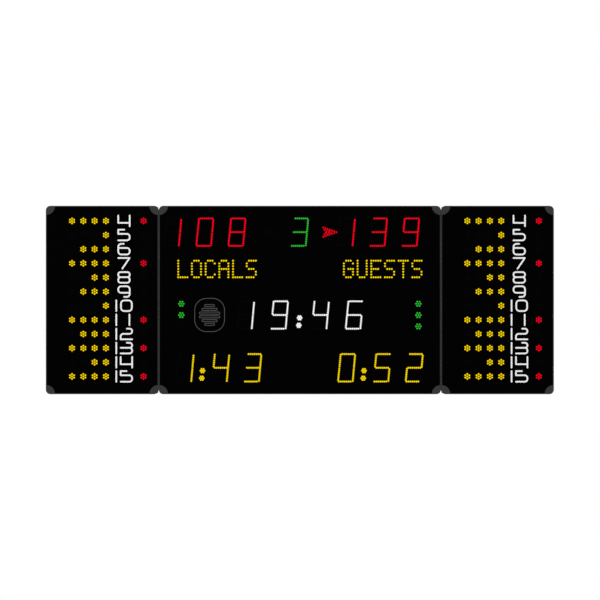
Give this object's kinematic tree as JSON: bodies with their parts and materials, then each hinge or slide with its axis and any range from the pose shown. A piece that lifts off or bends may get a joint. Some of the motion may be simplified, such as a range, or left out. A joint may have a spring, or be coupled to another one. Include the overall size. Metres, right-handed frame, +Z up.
{
  "type": "electronic scoreboard",
  "caption": "Wall-hung LED scoreboard for sports halls: a wide cabinet for scores, names, period, clock and timers between two narrow player-foul cabinets, each with a top-hinged front.",
  "frame": {"origin": "centre of the wall rail's back face, on the wall", "axes": "+X to the right as seen from the front, +Z up, the front faces -Y, the wall is the plane y = 0"},
  "size_m": [3.371, 0.0823, 1.25],
  "materials": {
    "casing_paint": "satin powder coat",
    "frame_paint": "satin dark grey powder coat",
    "corner_plastic": "fine-grained moulding",
    "face_sheet": "matt black sheet",
    "display_black": "matt black moulding",
    "grille_plastic": "fine-grained moulding",
    "bare_steel": "mill finish",
    "zinc_plate": "zinc plated",
    "cone_paper": "pressed paper",
    "circuit_board": "solder mask",
    "switch_plastic": "moulded",
    "lead_sheath": "matt sheath"
  },
  "bodies": {
    "cabinets": {"wall_rail": "bare_steel", "main_casing": "casing_paint", "left_casing": "casing_paint", "right_casing": "casing_paint", "power_supply": "bare_steel", "control_board": "circuit_board", "mains_inlet": "switch_plastic", "left_link_lead": "lead_sheath", "right_link_lead": "lead_sheath"},
    "main_door": {"main_bottom_profile": "frame_paint", "main_right_profile": "frame_paint", "main_top_profile": "frame_paint", "main_left_profile": "frame_paint", "main_bottom_left_corner": "corner_plastic", "main_bottom_right_corner": "corner_plastic", "main_top_right_corner": "corner_plastic", "main_top_left_corner": "corner_plastic", "main_face_panel": "face_sheet", "home_score_board": "display_black", "guest_score_board": "display_black", "period_board": "display_black", "home_name_board": "display_black", "guest_name_board": "display_black", "clock_board": "display_black", "home_timeout_board": "display_black", "guest_timeout_board": "display_black", "home_timer_board": "display_black", "guest_timer_board": "display_black", "horn_grille": "grille_plastic", "horn_driver": "bare_steel"},
    "left_door": {"left_bottom_profile": "frame_paint", "left_right_profile": "frame_paint", "left_top_profile": "frame_paint", "left_left_profile": "frame_paint", "left_bottom_left_corner": "corner_plastic", "left_bottom_right_corner": "corner_plastic", "left_top_right_corner": "corner_plastic", "left_top_left_corner": "corner_plastic", "left_face_panel": "face_sheet", "left_foul_board": "display_black"},
    "right_door": {"right_bottom_profile": "frame_paint", "right_right_profile": "frame_paint", "right_top_profile": "frame_paint", "right_left_profile": "frame_paint", "right_bottom_left_corner": "corner_plastic", "right_bottom_right_corner": "corner_plastic", "right_top_right_corner": "corner_plastic", "right_top_left_corner": "corner_plastic", "right_face_panel": "face_sheet", "right_foul_board": "display_black"},
    "main_left_stay": {"main_left_stay": "zinc_plate"},
    "main_right_stay": {"main_right_stay": "zinc_plate"},
    "left_stay": {"left_stay": "zinc_plate"},
    "right_stay": {"right_stay": "zinc_plate"},
    "main_left_lock": {"main_left_lock": "zinc_plate"},
    "main_right_lock": {"main_right_lock": "zinc_plate"},
    "left_lock": {"left_lock": "zinc_plate"},
    "right_lock": {"right_lock": "zinc_plate"},
    "horn_cone": {"horn_cone": "cone_paper"},
    "power_switch": {"power_switch": "switch_plastic"}
  },
  "joints": [
    {"name": "main_door_hinge", "type": "hinge", "parent": "cabinets", "child": "main_door", "pos_m": [0, -0.038, 0.076], "axis": [-1, 0, 0], "range_deg": [0, 70]},
    {"name": "left_door_hinge", "type": "hinge", "parent": "cabinets", "child": "left_door", "pos_m": [-1.3115, -0.038, 0.076], "axis": [-1, 0, 0], "range_deg": [0, 70]},
    {"name": "right_door_hinge", "type": "hinge", "parent": "cabinets", "child": "right_door", "pos_m": [1.3115, -0.038, 0.076], "axis": [-1, 0, 0], "range_deg": [0, 70]},
    {"name": "main_left_stay_pivot", "type": "hinge", "parent": "main_door", "child": "main_left_stay", "pos_m": [-0.922, -0.038, -0.324], "axis": [-1, 0, 0], "range_deg": [-140, 0]},
    {"name": "main_right_stay_pivot", "type": "hinge", "parent": "main_door", "child": "main_right_stay", "pos_m": [0.922, -0.038, -0.324], "axis": [-1, 0, 0], "range_deg": [-140, 0]},
    {"name": "left_stay_pivot", "type": "hinge", "parent": "left_door", "child": "left_stay", "pos_m": [-1.6715, -0.038, -0.324], "axis": [-1, 0, 0], "range_deg": [-140, 0]},
    {"name": "right_stay_pivot", "type": "hinge", "parent": "right_door", "child": "right_stay", "pos_m": [1.6715, -0.038, -0.324], "axis": [-1, 0, 0], "range_deg": [-140, 0]},
    {"name": "main_left_lock_turn", "type": "hinge", "parent": "main_door", "child": "main_left_lock", "pos_m": [-0.468, -0.062, -1.16], "axis": [0, 0, -1], "range_deg": [0, 90]},
    {"name": "main_right_lock_turn", "type": "hinge", "parent": "main_door", "child": "main_right_lock", "pos_m": [0.468, -0.062, -1.16], "axis": [0, 0, -1], "range_deg": [0, 90]},
    {"name": "left_lock_turn", "type": "hinge", "parent": "left_door", "child": "left_lock", "pos_m": [-1.3115, -0.062, -1.16], "axis": [0, 0, -1], "range_deg": [0, 90]},
    {"name": "right_lock_turn", "type": "hinge", "parent": "right_door", "child": "right_lock", "pos_m": [1.3115, -0.062, -1.16], "axis": [0, 0, -1], "range_deg": [0, 90]},
    {"name": "horn_cone_stroke", "type": "slide", "parent": "main_door", "child": "horn_cone", "axis": [0, 1, 0], "range_m": [-0.0025, 0.0025], "stiffness_N_per_m": 2000},
    {"name": "power_switch_rock", "type": "hinge", "parent": "cabinets", "child": "power_switch", "pos_m": [0.70742, -0.02975, -1.1533], "axis": [0, -1, 0], "range_deg": [0, 16]}
  ],
  "couplings": [
    {"joint": "main_left_stay_pivot", "follows": "main_door_hinge", "ratio": -2},
    {"joint": "main_right_stay_pivot", "follows": "main_door_hinge", "ratio": -2},
    {"joint": "left_stay_pivot", "follows": "left_door_hinge", "ratio": -2},
    {"joint": "right_stay_pivot", "follows": "right_door_hinge", "ratio": -2}
  ]
}
